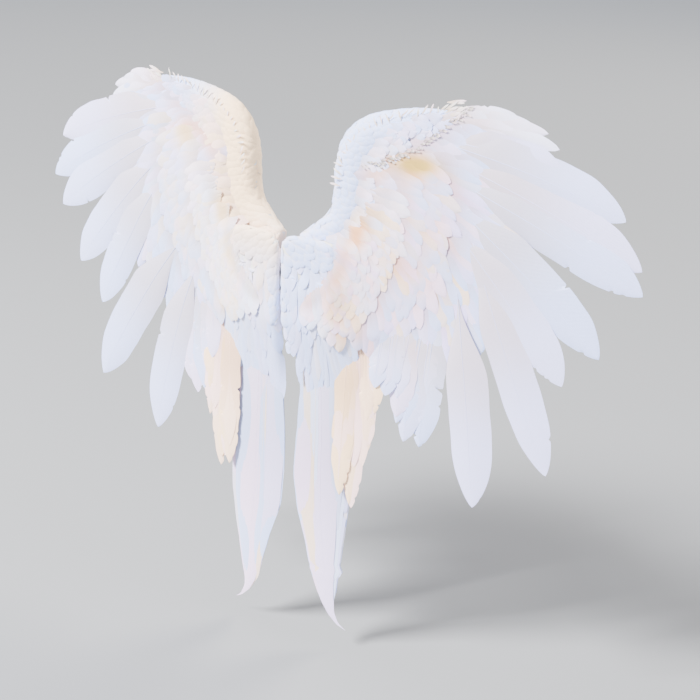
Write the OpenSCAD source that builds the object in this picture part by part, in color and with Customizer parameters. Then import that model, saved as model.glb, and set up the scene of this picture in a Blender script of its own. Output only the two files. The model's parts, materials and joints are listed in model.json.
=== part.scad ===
// Pair of large feathered costume wings on a back plate worn like a rucksack.
// Row frame: X to the right seen from behind, Y towards the wearer, Z up.
// The origin is the centre of the back pad's front face, which rests on the wearer.
// Each wing is laid out flat in its own plane: u outwards, v up and d towards the rear.
// u and v start at the notch, where the two leading edges meet.

/* [Wings] */
// Angle by which each wing tip stands forward of the root, in degrees
sweep = 7; // [4:0.5:9]
// Height of the notch above the middle of the back pad
notch_z = 110; // [108:1:114]
// Thickness of one feather vane
vane_t = 0.8; // [0.5:0.1:0.8]
// Distance from one feather layer to the next
layer_pitch = 1; // [1:0.05:1.1]
// Thickness of the foam core that holds the quills
core_t = 14; // [14:0.5:15]

/* [Hinges] */
// Distance of each hinge axis from the middle
hinge_x = 40; // [40:0.5:43]
// Depth of each hinge axis behind the back pad's front face
hinge_depth = 83; // [82:1:90]
// Radius of the hinge pins
pin_r = 4; // [3:0.5:4.5]
// Radius of the hinge knuckles and ears
knuckle_r = 7; // [6.5:0.1:7.3]
// Radial running clearance in the knuckles and sockets
running_gap = 0.05; // [0.02:0.01:0.1]

/* [Spar rods] */
// Radius of the two rods that plug each wing into its socket
rod_r = 5; // [4:0.5:5.5]
// Height of each rod above or below the middle of the plate
rod_offset = 20; // [16:1:22]
// Length of rod inside the socket
rod_grip = 54; // [40:1:54]
// Length of rod inside the foam core
rod_reach = 85; // [60:5:110]

/* [Back plate] */
// Width of the back plate
plate_w = 204; // [200:2:220]
// Height of the back plate
plate_h = 130; // [126:2:134]
// Thickness of the back plate
plate_t = 4; // [3:0.5:4]
// Thickness of the back pad
pad_t = 18; // [14:1:20]
// Width of the back pad
pad_w = 170; // [150:2:172]
// Height of the back pad
pad_h = 90; // [80:2:94]
// Radius of the four corner mounting holes
corner_hole_r = 2.75; // [2.25:0.25:3.25]
// Width between the corner mounting holes
corner_span_x = 184; // [180:2:188]
// Height between the corner mounting holes
corner_span_z = 60; // [50:2:66]

/* [Straps] */
// Width of the shoulder webbing
strap_w = 34; // [25:1:35]
// Thickness of the shoulder webbing
strap_t = 2.5; // [1.5:0.25:2.5]
// Distance of each strap from the middle
strap_x = 66; // [64:1:68]
// Width of the padded shoulder sleeve
sleeve_w = 54; // [46:1:58]
// Thickness of the padded shoulder sleeve
sleeve_t = 12; // [9:0.5:13]

/* [Hidden] */
$fn = 48;
eps = 0.01;

SIDES = ["right", "left"];
PRIMARY_COUNT = 8;

WING_PARTS = ["spar_rods", "wing_core", "edge_roll", "root_pad", "secondaries", "tertials", "plume",
    "greater_coverts", "median_coverts", "lesser_coverts", "marginal_coverts", "under_coverts"];
HARNESS_PARTS = ["hinge_bracket", "hinge_pin", "wing_socket", "socket_screw", "shoulder_strap",
    "shoulder_pad", "strap_slider"];

// ---- where things lie ----

// The hinge axis in the wing's own plane
hinge_u = 38;
hinge_d = 18;
hinge_y = -hinge_depth;

// Front and rear of the core, and the depth of the first feather layer behind it
core_front = -6;
core_rear = core_front + core_t;
first_layer = core_rear + 1;
core_mid = core_front + core_t / 2;

plate_front = -pad_t;
plate_rear = -pad_t - plate_t;

// Ears of the bracket, from the middle of the plate
ear_inner = 36;
ear_t = 8;
ear_outer = ear_inner + ear_t;
knuckle_half = ear_inner - 0.5;
flange_t = 4;
flange_w = 36;

// Socket block, in the wing's own plane
socket_u0 = 52;
socket_u1 = 112;
socket_half_v = 34;
socket_half_t = 10;
socket_mid_v = -notch_z;
web_d0 = 9;
web_d1 = 16;

// Bolts that hold a bracket to the plate
bolt_r = 2.5;
bolt_hole_r = 2.6;
bolt_head_r = 4.5;
bolt_head_t = 2;
bolt_z = 20;
nut_t = 4;
nut_r = 4.6;
pocket_r = 6;
pocket_depth = 4;

slot_h = 5;
slot_w = strap_w + 2;
slot_z = 52;

// Screw that clamps the rods, and its knurled head
screw_u = 82;
screw_r = 3;
screw_head_r = 9;
screw_head_t = 8;
screw_flutes = 16;
flute_r = 1;

// Layer numbers, counted rearwards from the core
SECONDARY_LAYER = 8;
PLUME_LAYER = 10;
TERTIAL_LAYER = 14;
MARGINAL_LAYER = 7;

// Half widths along a feather, as [share of its length, share of its width]
FLIGHT_SHAPE = [[0, 0.05], [0.18, 0.1], [0.3, 0.38], [0.45, 0.48], [0.62, 0.5], [0.8, 0.46], [0.93, 0.27]];
COVERT_SHAPE = [[0, 0.1], [0.2, 0.4], [0.5, 0.5], [0.8, 0.44], [0.94, 0.24]];

// Flight feathers as [base, tip, width, bow], the longest fanned from the wrist
PRIMARIES_RIGHT = [
    [[290, 207], [510, 174], 48, 6],
    [[270, 205], [617, 110], 62, 14],
    [[290, 180], [650, 32], 64, 12],
    [[300, 150], [655, -8], 62, 8],
    [[310, 110], [592, -126], 62, 8],
    [[315, 70], [533, -184], 60, 6],
    [[360, 40], [516, -352], 64, -4],
    [[336, -50], [385, -442], 68, 3]];
PRIMARIES_LEFT = [
    [[285, 190], [494, 162], 46, 4],
    [[270, 203], [616, 100], 62, 12],
    [[290, 180], [645, 16], 64, 12],
    [[300, 150], [624, -44], 62, 8],
    [[310, 110], [573, -156], 62, 8],
    [[315, 70], [508, -232], 60, 6],
    [[262, -45], [514, -390], 76, 8],
    [[220, -80], [346, -466], 72, 10]];

SECONDARIES_RIGHT = [
    [[300, -70], [275, -350], 58, 0],
    [[280, -80], [245, -345], 54, 0],
    [[255, -90], [230, -300], 50, 0],
    [[225, -95], [208, -262], 46, 0],
    [[200, -100], [188, -250], 40, 0]];
SECONDARIES_LEFT = [
    [[245, -90], [248, -335], 58, 0],
    [[225, -95], [227, -358], 54, 0],
    [[205, -100], [207, -345], 50, 0],
    [[190, -100], [190, -300], 44, 0],
    [[180, -105], [178, -270], 40, 0]];

TERTIALS_RIGHT = [
    [[165, -110], [188, -300], 46, 0],
    [[155, -120], [172, -385], 48, 0],
    [[142, -130], [148, -496], 48, 0],
    [[130, -140], [124, -474], 44, 0]];
TERTIALS_LEFT = [
    [[165, -110], [192, -300], 46, 0],
    [[155, -120], [188, -378], 48, 0],
    [[145, -130], [156, -490], 54, 0],
    [[135, -140], [130, -478], 50, 0]];

// Hanging plume as [centre, half width] from its base to its hooked tip
PLUME_RIGHT = [
    [[62, -164], 8], [[62, -200], 42], [[74, -260], 42], [[80, -320], 45], [[80, -380], 54],
    [[80, -450], 58], [[81, -520], 50], [[87, -590], 36], [[91, -650], 27], [[98, -700], 21],
    [[108, -730], 15], [[122, -750], 10], [[142, -761], 4], [[152, -762], 0]];
PLUME_LEFT = [
    [[60, -164], 8], [[60, -200], 42], [[62, -260], 48], [[62, -320], 54], [[64, -380], 60],
    [[66, -440], 63], [[68, -520], 59], [[77, -600], 39], [[78, -650], 28], [[79, -700], 21],
    [[87, -735], 14], [[102, -757], 9], [[116, -768], 4], [[124, -770], 0]];

// Each further plume as [share of the length, share of the width, sideways shift]
PLUME_LEAVES = [[1, 1, 0], [0.8, 0.6, 14], [0.66, 0.55, -12], [0.5, 0.5, 8]];

// Courses of coverts as [first layer, count, three curve points for the bases,
// [first, last] direction in degrees, [first, last] length, width]
GREATER_ROWS = [
    [18, 13, [[300, 190], [400, 50], [285, -105]], [-8, -92], [150, 125], 38],
    [20, 13, [[250, 182], [350, 60], [235, -108]], [-12, -92], [130, 105], 36]];
MEDIAN_ROWS = [
    [22, 12, [[212, 168], [290, 50], [195, -110]], [-14, -92], [112, 95], 34],
    [24, 12, [[185, 145], [240, 40], [158, -112]], [-16, -92], [92, 84], 32]];
LESSER_ROWS = [
    [26, 12, [[168, 110], [200, 30], [122, -112]], [-16, -92], [76, 72], 28],
    [28, 10, [[150, 60], [165, 0], [92, -104]], [-20, -95], [62, 60], 26],
    [30, 8, [[108, 20], [120, -40], [54, -96]], [-28, -98], [56, 58], 25]];
UNDER_ROWS = [
    [0, 12, [[310, 180], [395, 60], [290, -110]], [-8, -92], [130, 110], 38],
    [2, 11, [[230, 150], [310, 40], [200, -112]], [-12, -92], [120, 100], 38]];

// Small feathers on the leading edge as [point on the edge roll's middle, direction]
MARGINAL_COUNT = 13;
marginal_len = 42;
marginal_w = 20;

// Outline of the foam core, with a notch for the socket block
CORE_OUTLINE = [[97, -24], [135, 15], [168, 80], [172, 128], [192, 152], [236, 174], [300, 194],
    [350, 178], [388, 60], [368, -60], [292, -128], [200, -150], [130, -172], [97, -172],
    [97, -160], [118, -160], [118, -60], [97, -60]];

// Leading edge roll as [[u, v], half width, middle depth, half depth]
EDGE_STATIONS = [
    [[26, -14], 22, -6, 13], [[64, 3], 29, -7, 19], [[111, 43], 34, -9, 23],
    [[126, 100], 39, -10, 25], [[130, 150], 40, -10, 25], [[153, 190], 38, -8, 21],
    [[212, 214], 33, -6, 16], [[280, 231], 24, -3, 10], [[345, 244], 5, 2, 4]];
EDGE_STEPS = 3;
EDGE_SIDES = 16;

// Middle line of a shoulder strap as [forward, up]
STRAP_LINE = [[-26, 52], [-14, 52], [0, 53], [24, 60], [70, 60], [106, 44], [126, 20], [126, 4],
    [126, -48], [126, -62], [104, -86], [60, -90], [22, -68], [0, -53], [-14, -52], [-26, -52]];
STRAP_STEPS = 5;
sleeve_from = 18;
sleeve_to = 27;
slider_y = 126;
slider_z = -22;
slider_size = [44, 9, 22];
slider_gap = 0.5;

// ---- colours ----

white_feather = [0.93, 0.93, 0.97];
cream_feather = [0.95, 0.89, 0.8];
foam_cream = [0.93, 0.88, 0.8];
webbing_white = [0.86, 0.84, 0.8];
plate_white = [0.84, 0.83, 0.8];
metal_grey = [0.7, 0.71, 0.73];

// ---- helpers ----

function pick(side, right, left) = side == "right" ? right : left;
function across(v) = [-v[1], v[0]];
function unit(v) = v / norm(v);
function mix(a, b, t) = a + (b - a) * t;
function bezier(p, t) = mix(mix(p[0], p[1], t), mix(p[1], p[2], t), t);
function layer_d(layer) = first_layer + layer * layer_pitch;

// One point of a smooth curve through four neighbours, and the whole curve through a list
function smooth_point(a, b, c, d, t) =
    0.5 * ((2 * b) + (c - a) * t + (2 * a - 5 * b + 4 * c - d) * t * t
    + (3 * b - a - 3 * c + d) * t * t * t);
function smooth_line(pts, steps) =
    let (last = len(pts) - 1)
    concat(
        [for (i = [0:last - 1], s = [0:steps - 1])
            smooth_point(pts[max(i - 1, 0)], pts[i], pts[i + 1], pts[min(i + 2, last)], s / steps)],
        [pts[last]]);

// Direction of a line of points at point i
function heading(pts, i) = unit(pts[min(i + 1, len(pts) - 1)] - pts[max(i - 1, 0)]);

// Closed outline of a band of half thickness h along points from..to
function band(pts, from, to, h) = concat(
    [for (i = [from:to]) pts[i] + across(heading(pts, i)) * h],
    [for (i = [to:-1:from]) pts[i] - across(heading(pts, i)) * h]);

// Outline of one feather: a square quill end, widening edges, and one point at the tip
function vane_side(f, shape, sign) =
    let (axis = f[1] - f[0])
    [for (s = shape) f[0] + axis * s[0]
        + across(unit(axis)) * (sign * f[2] * s[1] + f[3] * 4 * s[0] * (1 - s[0]))];
function reversed(list) = [for (i = [len(list) - 1:-1:0]) list[i]];
function feather_outline(f, shape) =
    concat(vane_side(f, shape, 1), [f[1]], reversed(vane_side(f, shape, -1)));

// The feathers of one course, each [base, tip, width, bow]
function course(row) = [for (i = [0:row[1] - 1])
    let (t = i / (row[1] - 1), a = mix(row[3][0], row[3][1], t), base = bezier(row[2], t),
        length = mix(row[4][0], row[4][1], t))
    [base, base + length * [cos(a), sin(a)], row[5], 0]];

module on_side(side) {
    if (side == "left") mirror([1, 0, 0]) children();
    else children();
}

// The wing's own plane: x is u, y is v and z is d
module wing_space(side) {
    on_side(side)
        translate([hinge_x, hinge_y, notch_z])
        rotate([0, 0, sweep])
        translate([-hinge_u, hinge_d, 0])
        rotate([90, 0, 0])
        children();
}

module vane(f, shape, d) {
    translate([0, 0, d]) linear_extrude(vane_t) polygon(feather_outline(f, shape));
}

module feather_stack(list, layer) {
    for (i = [0:len(list) - 1]) vane(list[i], FLIGHT_SHAPE, layer_d(layer + i));
}

// Neighbours in a course lie on two layers in turn, so that they overlap like tiles
module covert_rows(rows) {
    for (row = rows) {
        list = course(row);
        for (i = [0:len(list) - 1]) vane(list[i], COVERT_SHAPE, layer_d(row[0] + i % 2));
    }
}

// ---- harness ----

module rounded_plate(w, h, t, r) {
    rotate([90, 0, 0]) linear_extrude(t) union() {
        square([w - 2 * r, h], center = true);
        square([w, h - 2 * r], center = true);
        for (x = [-1, 1], y = [-1, 1]) translate([x * (w / 2 - r), y * (h / 2 - r)]) circle(r);
    }
}

module hole_along_y(x, z, r, y0, y1) {
    translate([x, y1, z]) rotate([90, 0, 0]) cylinder(r = r, h = y1 - y0);
}

module at_bracket_bolts() {
    for (x = [-hinge_x, hinge_x], z = [-bolt_z, bolt_z]) translate([x, 0, z]) children();
}

module back_plate() {
    color(plate_white) difference() {
        translate([0, plate_front, 0]) rounded_plate(plate_w, plate_h, plate_t, 16);
        at_bracket_bolts() hole_along_y(0, 0, bolt_hole_r, plate_rear - 1, plate_front + 1);
        for (x = [-1, 1], z = [-1, 1]) {
            hole_along_y(x * corner_span_x / 2, z * corner_span_z / 2, corner_hole_r,
                plate_rear - 1, plate_front + 1);
            translate([x * strap_x, plate_front - plate_t / 2, z * slot_z])
                cube([slot_w, plate_t + 2, slot_h], center = true);
        }
    }
}

module back_pad() {
    color(webbing_white) difference() {
        rounded_plate(pad_w, pad_h, pad_t, 18);
        at_bracket_bolts() hole_along_y(0, 0, pocket_r, -pad_t - 1, -pad_t + pocket_depth);
    }
}

module bracket_bolts() {
    color(metal_grey) at_bracket_bolts() {
        hole_along_y(0, 0, bolt_head_r, plate_front, plate_front + bolt_head_t);
        hole_along_y(0, 0, bolt_r, plate_rear - flange_t - nut_t - 2, plate_front + eps);
    }
}

module bracket_nuts() {
    color(metal_grey) at_bracket_bolts() difference() {
        translate([0, plate_rear - flange_t, 0]) rotate([90, 0, 0])
            cylinder(r = nut_r, h = nut_t, $fn = 6);
        hole_along_y(0, 0, bolt_r, plate_rear - flange_t - nut_t - 1, plate_rear - flange_t + 1);
    }
}

// A flange on the plate with two ears that reach back to the hinge axis
module hinge_bracket(side) {
    flange_rear = plate_rear - flange_t;
    color(metal_grey) on_side(side) difference() {
        union() {
            translate([hinge_x - flange_w / 2, flange_rear, -ear_outer])
                cube([flange_w, flange_t, 2 * ear_outer]);
            for (z = [-ear_outer, ear_inner]) {
                translate([hinge_x - knuckle_r, hinge_y, z])
                    cube([2 * knuckle_r, flange_rear - hinge_y + eps, ear_t]);
                translate([hinge_x, hinge_y, z]) cylinder(r = knuckle_r, h = ear_t);
            }
        }
        translate([hinge_x, hinge_y, -ear_outer - 1]) cylinder(r = pin_r, h = 2 * ear_outer + 2);
        for (z = [-bolt_z, bolt_z])
            hole_along_y(hinge_x, z, bolt_hole_r, flange_rear - 1, plate_rear + 1);
    }
}

module hinge_pin(side) {
    head_t = 3;
    color(metal_grey) on_side(side) translate([hinge_x, hinge_y, 0]) {
        translate([0, 0, -ear_outer]) cylinder(r = pin_r, h = 2 * ear_outer + eps);
        translate([0, 0, ear_outer]) cylinder(r = pin_r + 2, h = head_t);
        translate([0, 0, -ear_outer - head_t]) cylinder(r = pin_r + 2, h = head_t + eps);
    }
}

// Knuckle, web and block with two blind bores for the spar rods
module wing_socket(side) {
    rod_end = socket_u1 - rod_grip;
    color(metal_grey) wing_space(side) difference() {
        union() {
            translate([hinge_u, socket_mid_v - knuckle_half, hinge_d]) rotate([-90, 0, 0])
                cylinder(r = knuckle_r, h = 2 * knuckle_half);
            translate([hinge_u, socket_mid_v - socket_half_v, web_d0])
                cube([socket_u0 - hinge_u + 8, 2 * socket_half_v, web_d1 - web_d0]);
            translate([socket_u0, socket_mid_v - socket_half_v, core_mid - socket_half_t])
                cube([socket_u1 - socket_u0, 2 * socket_half_v, 2 * socket_half_t]);
        }
        translate([hinge_u, socket_mid_v - knuckle_half - 1, hinge_d]) rotate([-90, 0, 0])
            cylinder(r = pin_r + running_gap, h = 2 * knuckle_half + 2);
        for (v = [-rod_offset, rod_offset])
            translate([rod_end, socket_mid_v + v, core_mid]) rotate([0, 90, 0])
                cylinder(r = rod_r + running_gap, h = rod_grip + 1);
        translate([screw_u, socket_mid_v, core_mid - socket_half_t - 1])
            cylinder(r = screw_r + running_gap, h = socket_half_t + 1);
    }
}

// Screw on the block's front face, with a fluted head
module socket_screw(side) {
    head_d = core_mid - socket_half_t - 1;
    color(metal_grey) wing_space(side) translate([screw_u, socket_mid_v, 0]) {
        translate([0, 0, head_d - eps]) cylinder(r = screw_r, h = socket_half_t - 1);
        translate([0, 0, head_d - screw_head_t]) difference() {
            cylinder(r = screw_head_r, h = screw_head_t);
            for (i = [1:screw_flutes]) rotate([0, 0, i * 360 / screw_flutes])
                translate([screw_head_r, 0, -1]) cylinder(r = flute_r, h = screw_head_t + 2, $fn = 6);
        }
    }
}

strap_path = smooth_line(STRAP_LINE, STRAP_STEPS);

// Turns a [forward, up] outline into a ribbon of width w across X
module ribbon(w) {
    translate([strap_x - w / 2, 0, 0]) rotate([90, 0, 90]) linear_extrude(w) children();
}

module shoulder_strap(side) {
    fold = 6;
    color(webbing_white) on_side(side) union() {
        ribbon(strap_w) polygon(band(strap_path, 0, len(strap_path) - 1, strap_t / 2));
        for (z = [-slot_z, slot_z])
            ribbon(strap_w + 1) translate([plate_rear - fold, z - fold / 2]) square([fold - 1, fold]);
    }
}

module shoulder_pad(side) {
    color(webbing_white) on_side(side) difference() {
        ribbon(sleeve_w) polygon(band(strap_path, sleeve_from, sleeve_to, sleeve_t / 2));
        ribbon(strap_w + 1) polygon(band(strap_path, sleeve_from - 1, sleeve_to + 1, strap_t / 2 + 0.3));
    }
}

module strap_slider(side) {
    slot = [strap_w + 2 * slider_gap, strap_t + 2 * slider_gap, slider_size[2] + 2];
    color(plate_white) on_side(side) translate([strap_x, slider_y, slider_z]) difference() {
        cube(slider_size, center = true);
        cube(slot, center = true);
    }
}

// ---- wings ----

module spar_rods(side) {
    color(metal_grey) wing_space(side) for (v = [-rod_offset, rod_offset])
        translate([socket_u1 - rod_grip + 1, socket_mid_v + v, core_mid]) rotate([0, 90, 0])
            cylinder(r = rod_r, h = rod_grip - 1 + rod_reach);
}

module wing_core(side) {
    color(foam_cream) wing_space(side) difference() {
        translate([0, 0, core_front]) linear_extrude(core_t) polygon(CORE_OUTLINE);
        for (v = [-rod_offset, rod_offset])
            translate([socket_u1, socket_mid_v + v, core_mid]) rotate([0, 90, 0])
                cylinder(r = rod_r, h = rod_reach);
    }
}

// Padded roll along the leading edge, swept through its stations
module edge_roll(side) {
    middle = smooth_line([for (s = EDGE_STATIONS) s[0]], EDGE_STEPS);
    widths = smooth_line([for (s = EDGE_STATIONS) s[1]], EDGE_STEPS);
    depths = smooth_line([for (s = EDGE_STATIONS) s[2]], EDGE_STEPS);
    halves = smooth_line([for (s = EDGE_STATIONS) s[3]], EDGE_STEPS);
    rings = len(middle);
    points = [for (i = [0:rings - 1], k = [0:EDGE_SIDES - 1])
        let (a = 360 * k / EDGE_SIDES, p = middle[i] + across(heading(middle, i)) * widths[i] * cos(a))
        [p[0], p[1], depths[i] + halves[i] * sin(a)]];
    walls = [for (i = [0:rings - 2], k = [0:EDGE_SIDES - 1])
        let (a = i * EDGE_SIDES + k, b = i * EDGE_SIDES + (k + 1) % EDGE_SIDES)
        [a, b, b + EDGE_SIDES, a + EDGE_SIDES]];
    first = [for (k = [EDGE_SIDES - 1:-1:0]) k];
    last = [for (k = [0:EDGE_SIDES - 1]) (rings - 1) * EDGE_SIDES + k];
    color(foam_cream) wing_space(side) polyhedron(points, concat(walls, [first, last]), convexity = 4);
}

// Domed cover behind the hinge, a cap above it, and a leg below it that stands on the core
module root_pad(side) {
    dome_d = hinge_d + knuckle_r + 1;
    color(white_feather) wing_space(side) union() {
        hull() {
            for (u = [20, 96], v = [-6, -152]) translate([u, v, dome_d]) {
                cylinder(r = 16, h = 5, $fn = 32);
                cylinder(r = 10, h = 9, $fn = 32);
            }
        }
        hull() {
            for (u = [20, 96]) translate([u, -36, core_rear + 1])
                cylinder(r = 16, h = dome_d - core_rear, $fn = 32);
        }
        translate([97, -167, core_rear]) cube([14, 6, dome_d + 1 - core_rear]);
    }
}

module primary(number, side) {
    color(white_feather) wing_space(side)
        vane(pick(side, PRIMARIES_RIGHT, PRIMARIES_LEFT)[number - 1], FLIGHT_SHAPE, layer_d(number - 1));
}

module secondaries(side) {
    color(white_feather) wing_space(side)
        feather_stack(pick(side, SECONDARIES_RIGHT, SECONDARIES_LEFT), SECONDARY_LAYER);
}

module tertials(side) {
    color(cream_feather) wing_space(side)
        feather_stack(pick(side, TERTIALS_RIGHT, TERTIALS_LEFT), TERTIAL_LAYER);
}

// One plume leaf: the plume's own line, shortened, narrowed and shifted sideways
module plume_leaf(line, leaf) {
    top = line[0][0];
    places = [for (s = line) top + (s[0] - top) * leaf[0] + [leaf[2] * s[1] / 50, 0]];
    polygon(concat(
        [for (i = [0:len(line) - 1]) places[i] + [line[i][1] * leaf[1], 0]],
        [for (i = [len(line) - 2:-1:0]) places[i] - [line[i][1] * leaf[1], 0]]));
}

module plume(side) {
    color(white_feather) wing_space(side) for (i = [0:len(PLUME_LEAVES) - 1])
        translate([0, 0, layer_d(PLUME_LAYER + i)]) linear_extrude(vane_t)
            plume_leaf(pick(side, PLUME_RIGHT, PLUME_LEFT), PLUME_LEAVES[i]);
}

module greater_coverts(side) {
    color(white_feather) wing_space(side) covert_rows(GREATER_ROWS);
}

module median_coverts(side) {
    color(white_feather) wing_space(side) covert_rows(MEDIAN_ROWS);
}

module lesser_coverts(side) {
    color(white_feather) wing_space(side) covert_rows(LESSER_ROWS);
}

// Small feathers behind the edge roll, pointing along the wing
module marginal_coverts(side) {
    middle = smooth_line([for (s = EDGE_STATIONS) s[0]], 2);
    color(foam_cream) wing_space(side) for (i = [2:MARGINAL_COUNT]) {
        way = heading(middle, i);
        lean = unit(way - across(way) * 0.6);
        vane([middle[i], middle[i] + lean * marginal_len, marginal_w, 0], COVERT_SHAPE,
            layer_d(MARGINAL_LAYER + i % 3));
    }
}

// The same kind of courses on the front face of the core
module under_coverts(side) {
    color(white_feather) wing_space(side) translate([0, 0, core_front - 1 - vane_t]) mirror([0, 0, 1])
        for (row = UNDER_ROWS) {
            list = course(row);
            for (i = [0:len(list) - 1])
                vane(list[i], COVERT_SHAPE, (row[0] + i % 2) * layer_pitch);
        }
}

// ---- output ----

back_plate();
back_pad();
bracket_bolts();
bracket_nuts();
for (side = SIDES) {
    hinge_bracket(side);
    hinge_pin(side);
    wing_socket(side);
    socket_screw(side);
    shoulder_strap(side);
    shoulder_pad(side);
    strap_slider(side);
    spar_rods(side);
    wing_core(side);
    edge_roll(side);
    root_pad(side);
    secondaries(side);
    tertials(side);
    plume(side);
    greater_coverts(side);
    median_coverts(side);
    lesser_coverts(side);
    marginal_coverts(side);
    under_coverts(side);
    for (i = [1:PRIMARY_COUNT])
        primary(i, side);
}
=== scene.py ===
"""The looks of a pair of feathered costume wings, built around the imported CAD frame.

Each wing has its own plane: u outwards, v up and d towards the rear, all in metres from the notch
where the two leading edges meet. Feathers are laid out in that plane, draped over one smooth
surface, and then turned into the row frame. The CAD feathers say where each feather goes.
"""

import json
import math

import bpy
import numpy as np
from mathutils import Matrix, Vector
from mathutils.bvhtree import BVHTree


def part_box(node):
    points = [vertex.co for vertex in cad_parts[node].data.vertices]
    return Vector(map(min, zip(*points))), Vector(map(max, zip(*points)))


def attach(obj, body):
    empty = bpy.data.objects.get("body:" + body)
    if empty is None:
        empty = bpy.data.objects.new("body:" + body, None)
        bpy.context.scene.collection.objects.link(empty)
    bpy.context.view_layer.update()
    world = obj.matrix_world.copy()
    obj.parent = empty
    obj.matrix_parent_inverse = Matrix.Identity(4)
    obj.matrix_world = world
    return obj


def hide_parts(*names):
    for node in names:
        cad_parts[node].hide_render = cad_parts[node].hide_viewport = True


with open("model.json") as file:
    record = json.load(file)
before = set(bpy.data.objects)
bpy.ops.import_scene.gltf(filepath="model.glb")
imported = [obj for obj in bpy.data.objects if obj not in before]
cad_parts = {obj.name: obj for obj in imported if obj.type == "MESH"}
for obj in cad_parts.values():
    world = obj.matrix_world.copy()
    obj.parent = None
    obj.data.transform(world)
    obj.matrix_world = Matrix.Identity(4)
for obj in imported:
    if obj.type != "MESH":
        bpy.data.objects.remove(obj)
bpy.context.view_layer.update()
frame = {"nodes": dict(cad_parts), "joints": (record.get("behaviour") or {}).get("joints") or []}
joints = {joint["name"]: joint for joint in frame["joints"]}

MM = 0.001
SIDES = ("right", "left")

# Where the hinge lies in a wing's own plane, and how high the notch is, as in the CAD part
HINGE_U = 38 * MM
HINGE_D = 18 * MM
NOTCH_Z = 110 * MM
FIRST_LAYER = 9 * MM
LAYER_PITCH = 1 * MM

# How far from the hinge pin the padded edge and the feathers over it may reach inwards
EDGE_REACH = 38.3 * MM
RELIEF_REACH = 39.2 * MM

# Where the front feathers lie, and how much wider than in the CAD the flight feathers are
FRONT_LAYER = -7.5 * MM
FLIGHT_WIDER = 1.16
MIDDLE_FLIGHT_WIDER = 1.27
MIDDLE_FLIGHT = (4, 5, 6)

# The plume: how many feathers in it, and how much wider than in the CAD
PLUME_FEATHERS = 13
PLUME_EXTRA = 9 * MM

# How the pads are filled
FILL_PRESSURE = 4.0
FILL_FRAMES = 20

# Camera, aimed at a point given from the notch
CAMERA_AZIMUTH = 33.28
CAMERA_HEIGHT = 19.66
CAMERA_ROLL = 1.06
CAMERA_DISTANCE = 2.5
CAMERA_TARGET = (0.135, 0.0, -0.19)
CAMERA_FOV = 28.28

# Colours of the feathers, as linear RGB. CREAM and PEACH also serve as painted shade: at the covered bases
# of the feathers, and on the inner side of the left wing's padded edge
COOL = (0.50, 0.61, 1.0)
WHITE = (0.75, 0.78, 1.0)
PINKISH = (1.0, 0.66, 0.84)
LILAC = (0.76, 0.58, 1.0)
CREAM = (1.0, 0.70, 0.42)
PEACH = (1.0, 0.48, 0.24)
OCHRE = (0.60, 0.38, 0.08)


def smooth(low, high, x):
    """A smooth step from 0 at low to 1 at high."""
    t = np.clip((np.asarray(x, float) - low) / (high - low), 0, 1)
    return t * t * (3 - 2 * t)


def read(items, field, width=3, kind=float):
    """One field of every vertex, edge or face of a mesh, a row for each."""
    values = np.empty(len(items) * width, kind)
    items.foreach_get(field, values)
    return values.reshape(-1, width)


def mesh_points(piece):
    return read(piece.data.vertices, "co")


def set_mesh_points(piece, points):
    piece.data.vertices.foreach_set("co", points.reshape(-1))
    piece.data.update()


def added(name, data):
    """A new object in the scene."""
    piece = bpy.data.objects.new(name, data)
    bpy.context.scene.collection.objects.link(piece)
    return piece


def dress(piece, material):
    piece.data.materials.clear()
    piece.data.materials.append(material)


def blend(a, b, share):
    a = np.asarray(a, float)
    return a + (np.asarray(b) - a) * share


def heading(angle):
    return np.array((math.cos(angle), math.sin(angle)))


def unit(vectors):
    return vectors / np.linalg.norm(vectors, axis=-1, keepdims=True)


def course(corners):
    """How far along a line of points each point lies."""
    steps = np.linalg.norm(np.diff(corners, axis=0), axis=1)
    return np.concatenate([[0], np.cumsum(steps)])


# ---- the two wing planes ----


class WingSpace:
    """The plane of one wing, and the way from it to the row frame and back."""

    def __init__(self, side):
        self.side = side
        self.sign = 1 if side == "right" else -1
        hinge = np.array(joints["wing_fold_" + side]["pos_m"], float)
        self.u = unit(np.array(joints["wing_release_" + side]["axis"], float))
        self.v = np.array((0.0, 0.0, 1.0))
        self.d = self.sign * np.array((self.u[1], -self.u[0], 0.0))
        self.origin = hinge - HINGE_U * self.u - HINGE_D * self.d + NOTCH_Z * self.v
        self.basis = np.stack([self.u, self.v, self.d])
        self.right = side == "right"
        self.body = "wing_" + side

    def to_row(self, points):
        return self.origin + np.asarray(points, float) @ self.basis

    def to_wing(self, points):
        return (np.asarray(points, float) - self.origin) @ self.basis.T


WINGS = {side: WingSpace(side) for side in SIDES}
NOTCH = (WINGS["right"].origin + WINGS["left"].origin) / 2


def rear_surface(u, v):
    """How far behind the wing plane the feathers lie: high at the root, falling to the tips."""
    root = np.exp(-(((u - 0.045) / 0.085) ** 2) - ((v + 0.095) / 0.075) ** 2)
    arm = np.exp(-(((u - 0.17) / 0.17) ** 2) - ((v - 0.03) / 0.15) ** 2)
    return 0.009 + 0.026 * root + 0.013 * arm


# ---- reading the CAD feathers ----


def loose_parts(node):
    """The points of each separate solid of a node."""
    piece = frame["nodes"][node]
    points = mesh_points(piece)
    _, same = np.unique(np.round(points / (0.01 * MM)).astype(int), axis=0, return_inverse=True)
    same = same.ravel()
    parent = list(range(same.max() + 1))

    def root(i):
        while parent[i] != i:
            parent[i] = parent[parent[i]]
            i = parent[i]
        return i

    for polygon in piece.data.polygons:
        first = root(same[polygon.vertices[0]])
        for vertex in polygon.vertices[1:]:
            parent[root(same[vertex])] = first
    groups = {}
    for i, point in enumerate(points):
        groups.setdefault(root(same[i]), []).append(point)
    return [np.array(group) for group in groups.values()]


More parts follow.
